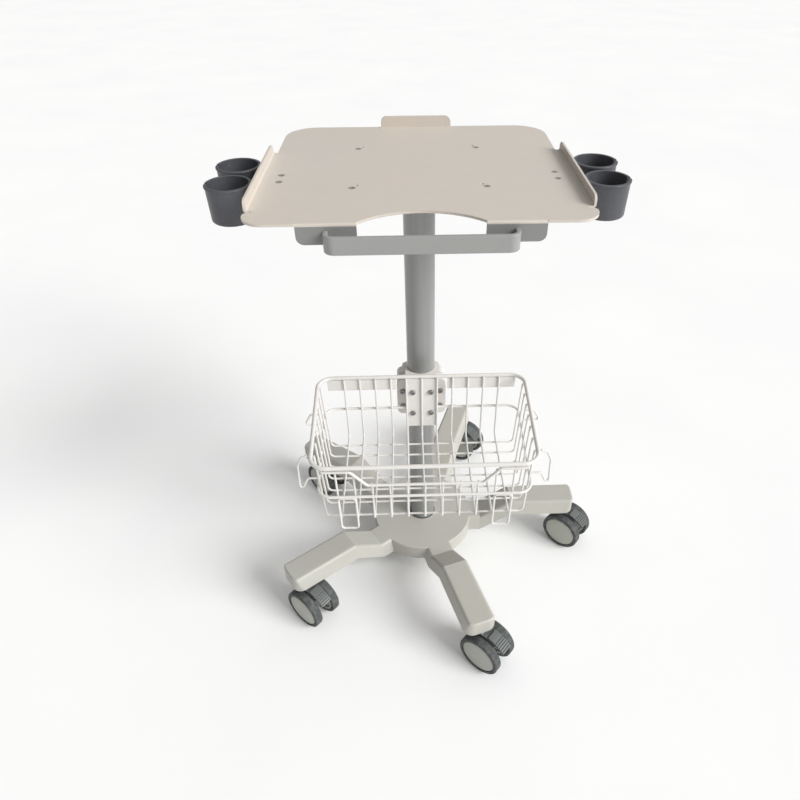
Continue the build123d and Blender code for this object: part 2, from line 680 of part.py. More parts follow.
def cup_radius(z):
    """The cup's outer radius at height z."""
    share = (z - CUP_BOTTOM) / (CUP_TOP - CUP_BOTTOM)
    return CUP_BOTTOM_RADIUS + (CUP_TOP_RADIUS - CUP_BEAD - CUP_BOTTOM_RADIUS) * share


def cup(side, y):
    """A tapered cup with a rim bead and a cable slot on its outward side."""
    height = CUP_TOP - CUP_BOTTOM
    body = Pos(0, 0, CUP_BOTTOM + height / 2) * Cone(CUP_BOTTOM_RADIUS, cup_radius(CUP_TOP), height)
    body = fillet(body.edges().group_by(Axis.Z)[0], CUP_FOOT_ROUND)
    bead = upright(CUP_TOP_RADIUS, CUP_TOP - CUP_BEAD_HEIGHT, CUP_TOP)
    bead = fillet(bead.edges(), CUP_BEAD)
    body += bead
    pad_x = BRACKET_FACE_X - CUP_X
    body += block(pad_x, 0, -CUP_PAD_HALF_WIDTH, CUP_PAD_HALF_WIDTH, CUP_PAD_BOTTOM, CUP_PAD_TOP)
    hollow_height = height - CUP_FLOOR
    hollow = Pos(0, 0, CUP_TOP - hollow_height / 2 + 0.01) * Cone(
        cup_radius(CUP_BOTTOM + CUP_FLOOR) - CUP_WALL, cup_radius(CUP_TOP) - CUP_WALL, hollow_height
    )
    body -= hollow
    half_slot = CUP_SLOT_WIDTH / 2
    slot = block(10, CUP_TOP_RADIUS + 5, -half_slot, half_slot, CUP_SLOT_BOTTOM, CUP_TOP + 5)
    slot_foot = [e for e in slot.edges().filter_by(Axis.X) if e.center().Z < CUP_SLOT_BOTTOM + 1]
    body -= fillet(slot_foot, half_slot - 0.5)
    if side < 0:
        body = mirror(body, Plane.YZ)
    return Pos(side * CUP_X, y, 0) * body


def cup_bracket():
    """The +X bracket: an arm screwed under the tray and an upright plate for two cups."""
    front, back = BRACKET_ARM_FRONT_Y, BRACKET_ARM_BACK_Y
    arm = block(BRACKET_INNER_X, BRACKET_FACE_X, front, back, SHEET_BOTTOM - SHEET, SHEET_BOTTOM)
    front, back = BRACKET_FRONT_Y, BRACKET_BACK_Y
    inner = BRACKET_FACE_X - SHEET
    plate = block(inner, BRACKET_FACE_X, front, back, BRACKET_BOTTOM, SHEET_BOTTOM)
    plate = fillet(plate.edges().filter_by(Axis.X), 8)
    bracket = arm + plate
    for y in BRACKET_SCREW_YS:
        bracket -= upright(SCREW_RADIUS, SHEET_BOTTOM - 10, SHEET_BOTTOM + 1, BRACKET_SCREW_X, y)
    return bracket


# =============================== basket ===============================

def rim_half(y):
    """Half the rim's width at y, along its straight sides."""
    share = (RIM_REAR_Y - y) / (RIM_REAR_Y - RIM_FRONT_Y)
    return RIM_REAR_HALF + (RIM_FRONT_HALF - RIM_REAR_HALF) * share


def drop_share(z):
    """0 at the rim, 1 at the basket's floor."""
    return (RIM_Z - z) / (RIM_Z - FLOOR_Z)


def side_x(y, z, inset=0.0):
    """Where the +X side panel stands at y and z."""
    return rim_half(y) - inset - FLOOR_TAPER_SIDE * drop_share(z)


def front_y(z, inset=0.0):
    """Where the front panel stands at height z."""
    return RIM_FRONT_Y + inset + FLOOR_TAPER_FRONT * drop_share(z)


def ring_corners(z, inset):
    rear = RIM_REAR_Y - inset
    front = front_y(z, inset)
    return (
        (side_x(rear, z, inset), rear, z),
        (side_x(front, z, inset), front, z),
        (-side_x(front, z, inset), front, z),
        (-side_x(rear, z, inset), rear, z),
    )


def basket_rim():
    corners = ring_corners(RIM_Z, 0)
    path = FilletPolyline(*corners, radius=RIM_CORNER, close=True)
    return closed_wire(path, RIM_WIRE_RADIUS)


def basket_ring():
    """The middle ring, welded around the grid and butted to the mounting plate."""
    right_rear, right_front, left_front, left_rear = ring_corners(RING_Z, RING_INSET)
    start = (CLAMP_BOSS_HALF_WIDTH, right_rear[1], RING_Z)
    end = (-CLAMP_BOSS_HALF_WIDTH, right_rear[1], RING_Z)
    corners = [start, right_rear, right_front, left_front, left_rear, end]
    return wire_sweep(corners, RING_WIRE_RADIUS, RING_CORNER)


def long_xs():
    return [i * LONG_PITCH for i in range(-LONG_SIDE_COUNT, LONG_SIDE_COUNT + 1)]


def cross_ys():
    return [RIM_REAR_Y - CROSS_PITCH * (k + 1) for k in range(CROSS_COUNT)]


def rear_grid():
    return [upright(GRID_WIRE_RADIUS, GRID_JOIN_Z, RIM_Z, x, REAR_GRID_Y) for x in long_xs()]


def dip_z(x):
    """Height of the dipped front wire over the grid wire at x."""
    if abs(x) <= DIP_HALF_BOTTOM:
        return DIP_LOW_Z
    if abs(x) >= DIP_HALF_TOP:
        return RIM_Z
    share = (abs(x) - DIP_HALF_BOTTOM) / (DIP_HALF_TOP - DIP_HALF_BOTTOM)
    return DIP_LOW_Z + (DIP_HIGH_Z - DIP_LOW_Z) * share


def front_grid():
    wires = []
    for x in long_xs():
        top = dip_z(x)
        foot = (x, front_y(GRID_JOIN_Z, GRID_INSET), GRID_JOIN_Z)
        head = (x, front_y(top, GRID_INSET), top)
        wires.append(wire_sweep([foot, head], GRID_WIRE_RADIUS))
    return wires


def dip_wire():
    """The front wire that dips to make a low reach-in opening."""
    half = [(DIP_HALF_END, DIP_HIGH_Z), (DIP_HALF_TOP, DIP_HIGH_Z), (DIP_HALF_BOTTOM, DIP_LOW_Z)]
    other = [(-x, z) for x, z in reversed(half)]
    path = [(x, front_y(z, RING_INSET), z) for x, z in half + other]
    return wire_sweep(path, RING_WIRE_RADIUS, DIP_BEND)


def floor_grid():
    """Lengthwise wires over crosswise wires, each with its ends bent upwards."""
    wires = []
    high = FLOOR_Z + 2 * GRID_WIRE_RADIUS + WELD_GAP
    front = front_y(GRID_JOIN_Z, GRID_INSET)
    low_front = front_y(high, GRID_INSET)
    for x in long_xs():
        path = [
            (x, REAR_GRID_Y, GRID_JOIN_Z),
            (x, REAR_GRID_Y, high),
            (x, low_front, high),
            (x, front, GRID_JOIN_Z),
        ]
        wires.append(wire_sweep(path, GRID_WIRE_RADIUS, LONG_BEND))
    for y in cross_ys():
        top = side_x(y, GRID_JOIN_Z, GRID_INSET)
        low = side_x(y, FLOOR_Z, GRID_INSET)
        path = [(-top, y, GRID_JOIN_Z), (-low, y, FLOOR_Z), (low, y, FLOOR_Z), (top, y, GRID_JOIN_Z)]
        wires.append(wire_sweep(path, GRID_WIRE_RADIUS, CROSS_BEND))
    return wires


def side_grid(side):
    wires = []
    for y in cross_ys():
        foot = (side * side_x(y, GRID_JOIN_Z, GRID_INSET), y, GRID_JOIN_Z)
        head = (side * side_x(y, RIM_Z, GRID_INSET), y, RIM_Z)
        wires.append(wire_sweep([foot, head], GRID_WIRE_RADIUS))
    return wires


def basket_rails():
    rails = []
    for side in (-1, 1):
        x0, x1 = sorted((side * RAIL_INNER_X, side * RAIL_OUTER_X))
        y1 = PLATE_FRONT_Y + RAIL_THICK
        rails.append(block(x0, x1, PLATE_FRONT_Y, y1, RAIL_BOTTOM, PLATE_TOP))
    return rails


def basket_feet():
    """Two closed loops on the front panel that reach below the floor."""
    feet = []
    inset = GRID_INSET - 2 * GRID_WIRE_RADIUS - WELD_GAP
    inner = (LONG_SIDE_COUNT - 1) * LONG_PITCH
    outer = LONG_SIDE_COUNT * LONG_PITCH
    for side in (-1, 1):
        corners = [
            (side * inner, front_y(FOOT_TOP, inset), FOOT_TOP),
            (side * outer, front_y(FOOT_TOP, inset), FOOT_TOP),
            (side * outer, front_y(FOOT_BOTTOM, inset), FOOT_BOTTOM),
            (side * inner, front_y(FOOT_BOTTOM, inset), FOOT_BOTTOM),
        ]
        path = FilletPolyline(*corners, radius=FOOT_BEND, close=True)
        feet.append(closed_wire(path, GRID_WIRE_RADIUS))
    return feet


def basket_hooks(side):
    """One side's cable hooks: a long open hook near the front, a short loop behind it."""
    hooks = []
    front = cross_ys()[-1]
    rear = cross_ys()[2]
    rim_side = rim_half(front) + RIM_WIRE_RADIUS + GRID_WIRE_RADIUS
    grid_front = side_x(front, 398, GRID_INSET) + GRID_WIRE_RADIUS
    grid_rear = side_x(rear, 424, GRID_INSET) + GRID_WIRE_RADIUS
    long_hook = [
        (rim_side, RIM_Z + 1),
        (rim_side + 9, RIM_Z - 3),
        (rim_side + 15, RIM_Z - 17),
        (rim_side + 17, RIM_Z - 70),
        (rim_side + 10, RIM_Z - 55),
        (rim_side + 4, RIM_Z - 42),
        (grid_front, RIM_Z - 42),
    ]
    short_loop = [
        (grid_rear, 429),
        (grid_rear + 12, 429),
        (grid_rear + 22, 410),
        (grid_rear, 410),
    ]
    for y, points, bend in ((front, long_hook, 3.0), (rear, short_loop, 4.0)):
        hooks.append(wire_sweep([(side * x, y, z) for x, z in points], GRID_WIRE_RADIUS, bend))
    return hooks


# ============================ column clamp ============================

def ear_block(y0, y1):
    """The clamp's wide part: rounded corners seen from the front."""
    height = CLAMP_TOP - CLAMP_BOTTOM
    outline = RectangleRounded(2 * CLAMP_HALF_WIDTH, height, CLAMP_CORNER)
    middle = Pos(0, y1, (CLAMP_TOP + CLAMP_BOTTOM) / 2)
    return middle * extrude(Plane.XZ * outline, y1 - y0)


def clamp_front():
    body = ear_block(-CLAMP_EAR_DEPTH, -CLAMP_SPLIT)
    half = CLAMP_BOSS_HALF_WIDTH
    boss = block(-half, half, PLATE_REAR_Y, -CLAMP_SPLIT, CLAMP_BOSS_BOTTOM, CLAMP_BOSS_TOP)
    body += fillet(boss.edges().filter_by(Axis.Z).group_by(Axis.Y)[0], 1.5)
    body -= upright(COLUMN_RADIUS, CLAMP_BOTTOM - 1, CLAMP_BOSS_TOP + 1)
    plate_screw_end = PLATE_FRONT_Y + PLATE_SCREW_LENGTH
    for x in (-1, 1):
        for z in CLAMP_SCREW_ZS:
            body -= along_y(SCREW_RADIUS, -CLAMP_EAR_DEPTH - 1, 0, x * CLAMP_SCREW_X, z)
        for z in PLATE_SCREW_ZS:
            body -= along_y(SCREW_RADIUS, PLATE_REAR_Y - 1, plate_screw_end, x * PLATE_SCREW_X, z)
    return body


def clamp_rear():
    body = ear_block(CLAMP_SPLIT, CLAMP_EAR_DEPTH)
    half = CLAMP_REAR_HALF_WIDTH
    back = block(-half, half, CLAMP_SPLIT, CLAMP_REAR_DEPTH, CLAMP_BOTTOM, CLAMP_TOP)
    body += fillet(back.edges().filter_by(Axis.Z).group_by(Axis.Y)[-1], 10)
    body -= upright(COLUMN_RADIUS, CLAMP_BOTTOM - 1, CLAMP_TOP + 1)
    for x in (-1, 1):
        for z in CLAMP_SCREW_ZS:
            body -= along_y(SCREW_RADIUS, 0, CLAMP_SCREW_LENGTH - CLAMP_EAR_DEPTH, x * CLAMP_SCREW_X, z)
    return body


def mounting_plate():
    """The plate the basket's rear wires are welded to, screwed to the clamp."""
    height = PLATE_TOP - PLATE_BOTTOM
    outline = RectangleRounded(2 * CLAMP_BOSS_HALF_WIDTH, height, PLATE_CORNER)
    middle = Pos(0, PLATE_REAR_Y, (PLATE_TOP + PLATE_BOTTOM) / 2)
    plate = middle * extrude(Plane.XZ * outline, PLATE_THICK)
    for x in (-1, 1):
        for z in PLATE_SCREW_ZS:
            plate -= along_y(SCREW_RADIUS, PLATE_FRONT_Y - 1, PLATE_REAR_Y + 1, x * PLATE_SCREW_X, z)
    return plate


def screw_set(half_x, heights, face_y, length):
    """Screws along +Y at each height, on both sides of the middle."""
    return [pan_screw_y(x * half_x, z, face_y, length) for x in (-1, 1) for z in heights]


def column():
    tube = upright(COLUMN_RADIUS, SOCKET_FLOOR, COLUMN_TOP)
    return tube - upright(COLUMN_RADIUS - COLUMN_WALL, SOCKET_FLOOR - 1, COLUMN_TOP + 1)


# =============================== writing ===============================

write("base_star", base_star())
write_casters()

write("column", column())
write("head_plate", head_plate())
write("tray_plate", tray_plate())
write("tray_screws", *tray_screws())
write("handle_bar", handle_bar())

write("cup_brackets", cup_bracket(), mirror(cup_bracket(), Plane.YZ))
for side_name, side in (("left", -1), ("right", 1)):
    write(f"cup_{side_name}_front", cup(side, CUP_FRONT_Y))
    write(f"cup_{side_name}_rear", cup(side, CUP_REAR_Y))

write("clamp_front", clamp_front())
write("clamp_rear", clamp_rear())
clamp_face = -CLAMP_EAR_DEPTH
write("clamp_screws", *screw_set(CLAMP_SCREW_X, CLAMP_SCREW_ZS, clamp_face, CLAMP_SCREW_LENGTH))
write("basket_plate", mounting_plate())
write("plate_screws", *screw_set(PLATE_SCREW_X, PLATE_SCREW_ZS, PLATE_FRONT_Y, PLATE_SCREW_LENGTH))

write("basket_rim", basket_rim())
write("basket_ring", basket_ring())
write("basket_rear", *rear_grid(), *basket_rails())
write("basket_front", *front_grid(), *basket_feet())
write("basket_dip_wire", dip_wire())
write("basket_floor", *floor_grid())
write("basket_left", *side_grid(-1), *basket_hooks(-1))
write("basket_right", *side_grid(1), *basket_hooks(1))
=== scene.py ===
"""The looks of a rolling cart for a portable ultrasound scanner, built round its CAD frame.

Metres, +Z up. The front of the cart faces -Y, and the origin is on the floor under the middle of
the cart's bounding box. Sizes of turned and welded details are in millimetres.
"""

import json
import math
import random

import bmesh
import bpy
from mathutils import Matrix, Vector


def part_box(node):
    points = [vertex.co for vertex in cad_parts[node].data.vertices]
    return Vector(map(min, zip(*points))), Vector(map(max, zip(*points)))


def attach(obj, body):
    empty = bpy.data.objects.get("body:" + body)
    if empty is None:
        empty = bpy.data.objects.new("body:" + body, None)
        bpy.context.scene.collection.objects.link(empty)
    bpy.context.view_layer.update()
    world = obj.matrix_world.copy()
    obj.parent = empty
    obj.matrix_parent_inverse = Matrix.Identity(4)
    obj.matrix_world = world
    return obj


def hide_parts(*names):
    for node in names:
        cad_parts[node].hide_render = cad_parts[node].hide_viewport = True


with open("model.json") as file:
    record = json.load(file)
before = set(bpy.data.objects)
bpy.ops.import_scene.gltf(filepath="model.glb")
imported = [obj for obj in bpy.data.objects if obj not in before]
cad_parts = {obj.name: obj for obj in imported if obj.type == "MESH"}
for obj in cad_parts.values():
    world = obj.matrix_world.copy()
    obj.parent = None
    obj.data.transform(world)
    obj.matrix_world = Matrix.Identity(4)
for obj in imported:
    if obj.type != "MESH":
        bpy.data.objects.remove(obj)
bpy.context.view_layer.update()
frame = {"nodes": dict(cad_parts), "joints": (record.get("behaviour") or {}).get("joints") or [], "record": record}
nodes = frame["nodes"]

MM = 0.001

column_low, column_high = (Vector(corner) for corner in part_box("column"))
COLUMN_FOOT = Vector(((column_low.x + column_high.x) / 2, (column_low.y + column_high.y) / 2, 0))

# ---- camera, from the column's foot ----
CAMERA_PLACE = COLUMN_FOOT + Vector((-0.0149, -0.8465, 1.0321))
CAMERA_YAW = math.radians(1.93)
CAMERA_PITCH = math.radians(38.75)
CAMERA_ROLL = math.radians(0.1)
CAMERA_LENS = 28.59
CAMERA_SHIFT_X = -0.0365
CAMERA_NEAR = 0.02

# ---- light: a room that is brighter on one side, and a wide soft window on that side ----
BRIGHT_SIDE = (0.90, -0.10, 0.42)
DIM_STRENGTH = 0.0
BRIGHT_STRENGTH = 0.83
WINDOW_DIRECTION = (0.73, -0.42, 0.54)
WINDOW_WIDTH = math.radians(32)
WINDOW_STRENGTH = 2.95
FLOOR_SIZE = 80.0


def linear(red, green, blue):
    """An sRGB colour, 0 to 255, as the linear values that a shader takes."""
    values = []
    for channel in (red, green, blue):
        share = channel / 255
        values.append(share / 12.92 if share <= 0.04045 else ((share + 0.055) / 1.055) ** 2.4)
    return (*values, 1.0)


# ============================== materials ==============================

EDGE_FLAT = 0.995
EDGE_FULL = 0.90
# Width of the blend at the edge of the painted shade under a given height.
SHADE_LINE_BLEND = 0.0004
PAINT_EDGE = 0.0012
PAINT_ROUND = 0.0007
PLASTIC_EDGE = 0.0010
PLASTIC_ROUND = 0.0006
PLATED_EDGE = 0.0004
SETTLED_DUST = linear(188, 188, 186)
GROUND_DUST = linear(140, 140, 134)


class Shader:
    """A material under construction: short names for the nodes that it needs."""

    def __init__(self, name):
        self.material = bpy.data.materials.new(name)
        self.material.use_nodes = True
        self.tree = self.material.node_tree
        self.surface = self.tree.nodes["Principled BSDF"]
        self.place = self.add("ShaderNodeTexCoord").outputs["Object"]

    def add(self, kind, **settings):
        node = self.tree.nodes.new(kind)
        for name, value in settings.items():
            setattr(node, name, value)
        return node

    def join(self, source, target):
        self.tree.links.new(source, target)

    def stretched(self, scale):
        """The object's own coordinates, scaled by a different factor along each axis."""
        mapping = self.add("ShaderNodeMapping")
        mapping.inputs["Scale"].default_value = scale
        self.join(self.place, mapping.inputs["Vector"])
        return mapping.outputs["Vector"]

    def noise(self, scale, detail=4.0, roughness=0.55, place=None):
        node = self.add("ShaderNodeTexNoise")
        node.inputs["Scale"].default_value = scale
        node.inputs["Detail"].default_value = detail
        node.inputs["Roughness"].default_value = roughness
        self.join(place or self.place, node.inputs["Vector"])
        return node.outputs["Fac"]

    def cells(self, scale):
        node = self.add("ShaderNodeTexVoronoi")
        node.inputs["Scale"].default_value = scale
        self.join(self.place, node.inputs["Vector"])
        return node.outputs["Distance"]

    def spread(self, value, low, high, out_low=0.0, out_high=1.0):
        """Maps low..high onto out_low..out_high and holds the ends."""
        node = self.add("ShaderNodeMapRange")
        for name, number in (
            ("From Min", low),
            ("From Max", high),
            ("To Min", out_low),
            ("To Max", out_high),
        ):
            node.inputs[name].default_value = number
        self.join(value, node.inputs["Value"])
        return node.outputs["Result"]

    def faded(self, mask, strength):
        """A mask from 0 to 1, brought down to a lower full value."""
        return self.spread(mask, 0.0, 1.0, 0.0, strength)

    def blend(self, share, first, second):
        """Mixes two colours; each is a colour or another node's output."""
        node = self.add("ShaderNodeMix", data_type="RGBA")
        self.join(share, node.inputs["Factor"])
        for socket, colour in ((node.inputs[6], first), (node.inputs[7], second)):
            if isinstance(colour, tuple):
                socket.default_value = colour
            else:
                self.join(colour, socket)
        return node.outputs[2]

    def product(self, first, second):
        node = self.add("ShaderNodeMath", operation="MULTIPLY")
        self.join(first, node.inputs[0])
        self.join(second, node.inputs[1])
        return node.outputs[0]

    def edges(self, radius):
        """1 along the shape's sharp edges, 0 on its faces."""
        rounded = self.add("ShaderNodeBevel", samples=4)
        rounded.inputs["Radius"].default_value = radius
        normal = self.add("ShaderNodeNewGeometry").outputs["Normal"]
        dot = self.add("ShaderNodeVectorMath", operation="DOT_PRODUCT")
        self.join(rounded.outputs["Normal"], dot.inputs[0])
        self.join(normal, dot.inputs[1])
        return self.spread(dot.outputs["Value"], EDGE_FLAT, EDGE_FULL)

    def round_off(self, radius):
        """Shades sharp edges as if they were eased by a small radius."""
        rounded = self.add("ShaderNodeBevel", samples=6)
        rounded.inputs["Radius"].default_value = radius
        self.join(rounded.outputs["Normal"], self.surface.inputs["Normal"])

    def bump(self, height, distance, strength=1.0):
        node = self.add("ShaderNodeBump")
        node.inputs["Distance"].default_value = distance
        node.inputs["Strength"].default_value = strength
        self.join(height, node.inputs["Height"])
        last = self.surface.inputs["Normal"]
        if last.is_linked:
            self.join(last.links[0].from_socket, node.inputs["Normal"])
        self.join(node.outputs["Normal"], last)

    def colour(self, socket):
        self.join(socket, self.surface.inputs["Base Color"])

    def rough(self, socket):
        self.join(socket, self.surface.inputs["Roughness"])

    def set(self, name, value):
        self.surface.inputs[name].default_value = value


def shade(colour, factor):
    """A lighter or darker version of a colour."""
    return (*(min(channel * factor, 1.0) for channel in colour[:3]), 1.0)


def painted(name, colour, warm, orange_peel, roughness, speckle=0.0, wear_and_highlight=0.25, shade_below=None):
    """Sprayed or powder-coated metal: orange peel, faint clouds, specks, and thin paint on edges.

    The last argument is (height, colour): the shape's parts under that height are given a painted shade in that
    colour.
    """
    paint = Shader(name)
    clouds = paint.spread(paint.noise(5.0, 3.0), 0.35, 0.65)
    mottle = paint.spread(paint.noise(70.0, 5.0), 0.3, 0.7)
    faint = paint.faded(mottle, 0.35)
    base = paint.blend(faint, paint.blend(clouds, colour, warm), shade(colour, 0.94))
    # Painted shade: everything under the given height is darkened to the shade colour.
    if shade_below:
        height, shade_colour = shade_below
        parts = paint.add("ShaderNodeSeparateXYZ")
        paint.join(paint.place, parts.inputs[0])
        over = paint.spread(
            parts.outputs["Z"], height - SHADE_LINE_BLEND, height + SHADE_LINE_BLEND
        )
        low = paint.blend(faint, shade_colour, shade(shade_colour, 0.94))
        base = paint.blend(over, low, base)
    if speckle:
        specks = paint.spread(paint.cells(620.0), 0.10, 0.02, 0.0, speckle)
        base = paint.blend(specks, base, shade(colour, 0.45))
    worn = paint.product(paint.edges(PAINT_EDGE), paint.spread(paint.noise(90.0), 0.42, 0.62))
    base = paint.blend(paint.faded(worn, wear_and_highlight), base, shade(colour, 1.28))
    paint.colour(base)
    paint.rough(
        paint.spread(paint.noise(28.0), 0.3, 0.7, roughness - 0.06, roughness + 0.08)
    )
    paint.round_off(PAINT_ROUND)
    paint.bump(paint.noise(orange_peel, 2.0), 0.00012, 0.55)
    paint.bump(paint.noise(9.0, 2.0), 0.0010, 0.16)
    paint.set("Coat Weight", 0.12)
    paint.set("Coat Roughness", 0.25)
    return paint.material


def moulded(name, colour, roughness, grain=1500.0, wear_and_highlight=0.3, dust=0.18):
    """Moulded plastic: a fine spark-eroded grain, faint patches of dust, and a painted highlight along the edges.
    """
    plastic = Shader(name)
    clouds = plastic.spread(plastic.noise(16.0, 4.0), 0.35, 0.68)
    base = plastic.blend(clouds, colour, shade(colour, 0.90))
    settled = plastic.spread(plastic.noise(210.0, 6.0, 0.7), 0.5, 0.8, 0.0, dust)
    base = plastic.blend(settled, base, SETTLED_DUST)
    # Painted highlight: all the sharp edges are lightened evenly.
    edge_highlight = plastic.faded(plastic.edges(PLASTIC_EDGE), wear_and_highlight)
    base = plastic.blend(edge_highlight, base, shade(colour, 1.7))
    plastic.colour(base)
    plastic.rough(
        plastic.spread(plastic.noise(60.0), 0.3, 0.7, roughness - 0.05, roughness + 0.09)
    )
    plastic.round_off(PLASTIC_ROUND)
    plastic.bump(plastic.noise(grain, 2.0, 0.6), 0.00006, 0.6)
    plastic.bump(plastic.noise(26.0, 2.0), 0.0004, 0.15)
    return plastic.material


def drawn_tube(name, colour):
    """Satin tube: a brushed grain along its length under a thin clear coat."""
    metal = Shader(name)
    strands = metal.noise(1.0, 6.0, 0.65, metal.stretched((900.0, 900.0, 9.0)))
    bands = metal.noise(1.0, 3.0, 0.5, metal.stretched((130.0, 130.0, 2.2)))
    base = metal.blend(metal.spread(bands, 0.35, 0.65), colour, shade(colour, 0.90))
    smears = metal.spread(metal.noise(11.0, 5.0, 0.7), 0.55, 0.75, 0.0, 0.3)
    base = metal.blend(smears, base, shade(colour, 0.80))
    metal.colour(base)
    metal.rough(metal.spread(strands, 0.3, 0.7, 0.30, 0.44))
    metal.bump(strands, 0.00005, 0.5)
    metal.set("Metallic", 0.15)
    metal.set("Coat Weight", 0.2)
    metal.set("Coat Roughness", 0.3)
    return metal.material


def plated(name, colour, roughness):
    """Small plated steel pieces, slightly scratched, with a painted highlight along their edges."""
    metal = Shader(name)
    spots = metal.spread(metal.noise(420.0, 5.0, 0.7), 0.45, 0.72)
    base = metal.blend(spots, colour, shade(colour, 0.6))
    # Painted highlight: the sharp edges are brightened strongly.
    base = metal.blend(metal.faded(metal.edges(PLATED_EDGE), 0.6), base, shade(colour, 2.2))
    metal.colour(base)
    metal.rough(
        metal.spread(metal.noise(300.0), 0.3, 0.7, roughness - 0.08, roughness + 0.12)
    )
    metal.bump(metal.noise(1400.0, 3.0), 0.00005, 0.5)
    metal.set("Metallic", 0.9)
    return metal.material


def tread_rubber(name, colour):
    """A soft wheel tread: matt, with dust ground into it and scuffs round the rolling face."""
    rubber = Shader(name)
    dusty = rubber.spread(rubber.noise(120.0, 6.0, 0.7), 0.45, 0.75, 0.0, 0.45)
    base = rubber.blend(dusty, colour, GROUND_DUST)
    scuffs = rubber.spread(rubber.cells(260.0), 0.05, 0.22, 0.35, 0.0)
    base = rubber.blend(scuffs, base, shade(colour, 0.6))
    rubber.colour(base)
    rubber.rough(rubber.spread(rubber.noise(90.0), 0.3, 0.7, 0.55, 0.75))
    rubber.bump(rubber.noise(700.0, 4.0, 0.65), 0.00012, 0.7)
    rubber.set("Specular IOR Level", 0.35)
    return rubber.material


def plain_floor(name):
    """A matt, nearly white studio floor."""
    floor = Shader(name)
    soft = floor.spread(floor.noise(2.0, 2.0), 0.3, 0.7)
    floor.colour(floor.blend(soft, linear(250, 250, 249), linear(246, 246, 246)))
    floor.set("Roughness", 0.9)
    floor.set("Specular IOR Level", 0.1)
    return floor.material


HANDLE_GREY = linear(148, 149, 148)
# Painted shade for the tray's underside and the flanges that hang under it, which the tray keeps out of the light.
UNDERSIDE_SHADE_GREY = linear(132, 132, 130)
TRAY_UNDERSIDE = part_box("head_plate")[1][2] - SHADE_LINE_BLEND

MATERIALS = {
    "cast_grey": painted(
        "cast_grey",
        linear(180, 179, 171),
        linear(184, 181, 172),
        760.0,
        0.47,
        speckle=0.10,
        wear_and_highlight=0.3,
    ),
    "column_metal": drawn_tube("column_metal", linear(145, 146, 144)),
    "bracket_grey": painted("bracket_grey", HANDLE_GREY, linear(152, 151, 148), 900.0, 0.40),
    "tray_beige": painted(
        "tray_beige",
        linear(204, 196, 187),
        linear(205, 196, 184),
        820.0,
        0.50,
        speckle=0.08,
        wear_and_highlight=0.3,
        # painted shade on the tray's underside and flanges
        shade_below=(TRAY_UNDERSIDE, UNDERSIDE_SHADE_GREY),
    ),
    "screw_dark": plated("screw_dark", linear(152, 150, 150), 0.42),
    "screw_bright": plated("screw_bright", linear(196, 190, 181), 0.42),
    "cup_charcoal": moulded("cup_charcoal", linear(76, 77, 82), 0.40, wear_and_highlight=0.25, dust=0.05),
    "clamp_white": moulded("clamp_white", linear(226, 222, 218), 0.42, wear_and_highlight=0.12, dust=0.06),
    "wire_white": painted(
        "wire_white", linear(222, 220, 217), linear(219, 216, 210), 1100.0, 0.36, wear_and_highlight=0.2
    ),
    "steel_plain": plated("steel_plain", linear(150, 152, 154), 0.34),
    "caster_grey": moulded("caster_grey", linear(98, 102, 101), 0.40, wear_and_highlight=0.25, dust=0.15),
    "tread_grey": tread_rubber("tread_grey", linear(68, 72, 72)),
    "wheel_cover": moulded("wheel_cover", linear(177, 179, 169), 0.44, wear_and_highlight=0.2, dust=0.10),
}


def dress_cad_nodes():
    """Gives each CAD node its slot's material; the tray's own screws are bright."""
    for row in frame["record"]["subparts"]:
        node = nodes[row["node"]]
        node.data.materials.clear()
        slot = "screw_bright" if row["node"] == "tray_screws" else row["material_slot"]
        node.data.materials.append(MATERIALS[slot])


dress_cad_nodes()


# =============================== lathe work ===============================

MERGE_DISTANCE = 0.000001


def arc(centre, radius, start, end, steps=6):
    """Points of an arc in a profile, by angle in degrees."""
    points = []
    for step in range(steps + 1):
        angle = math.radians(start + (end - start) * step / steps)
        points.append((centre[0] + radius * math.cos(angle), centre[1] + radius * math.sin(angle)))
    return points


def lathe(name, profile, centre, axis, segments=96):
    """Turns a closed profile of (radius, distance along the axis), in millimetres, about an axis."""
    axis = Vector(axis).normalized()
    across = axis.orthogonal().normalized()
    upward = axis.cross(across)
    mesh = bmesh.new()
    rings = []
    for radius, along in profile:
        ring = []
        for step in range(segments):
            angle = 2 * math.pi * step / segments
            spoke = math.cos(angle) * across + math.sin(angle) * upward
            ring.append(mesh.verts.new(Vector(centre) + MM * (radius * spoke + along * axis)))
        rings.append(ring)
    for near, far in zip(rings, rings[1:] + rings[:1]):
        for step in range(segments):
            after = (step + 1) % segments
            mesh.faces.new((near[step], near[after], far[after], far[step]))
    bmesh.ops.remove_doubles(mesh, verts=mesh.verts, dist=MERGE_DISTANCE)
    bmesh.ops.recalc_face_normals(mesh, faces=mesh.faces)
    return piece_from(mesh, name)


def piece_from(mesh, name, sharp_angle=35.0):
    """A new object from a finished bmesh, smooth except across sharp edges."""
    data = bpy.data.meshes.new(name)
    mesh.to_mesh(data)
    mesh.free()
    data.polygons.foreach_set("use_smooth", [True] * len(data.polygons))
    data.set_sharp_from_angle(angle=math.radians(sharp_angle))
    made = bpy.data.objects.new(name, data)
    bpy.context.scene.collection.objects.link(made)
    return made


# ================================ wheels ================================

TYRE_RADIUS = 37.5
TYRE_BORE = 30.6
WHEEL_INNER = 12.6
WHEEL_OUTER = 27.8
TYRE_ROUND = 2.6
MOULD_LINE_TOP = 0.35
MOULD_LINE_FOOT = 0.12
MOULD_LINE_DEPTH = 0.2
LIP_ROUND = 0.5
LIP_RISE = 1.1
GROOVE_RISE = 0.6
GROOVE_DEPTH = 0.9
BORE_CHAMFER = 0.6
COVER_EDGE = 27.0
COVER_CROWN = 29.2
COVER_GAP = 0.05
DOME_RADIUS = 27.6
DOME_STEPS = 10
WEB_DEPTH = 3.4
AXLE_BORE = 4.05
AXLE_BORE_END = 24.6


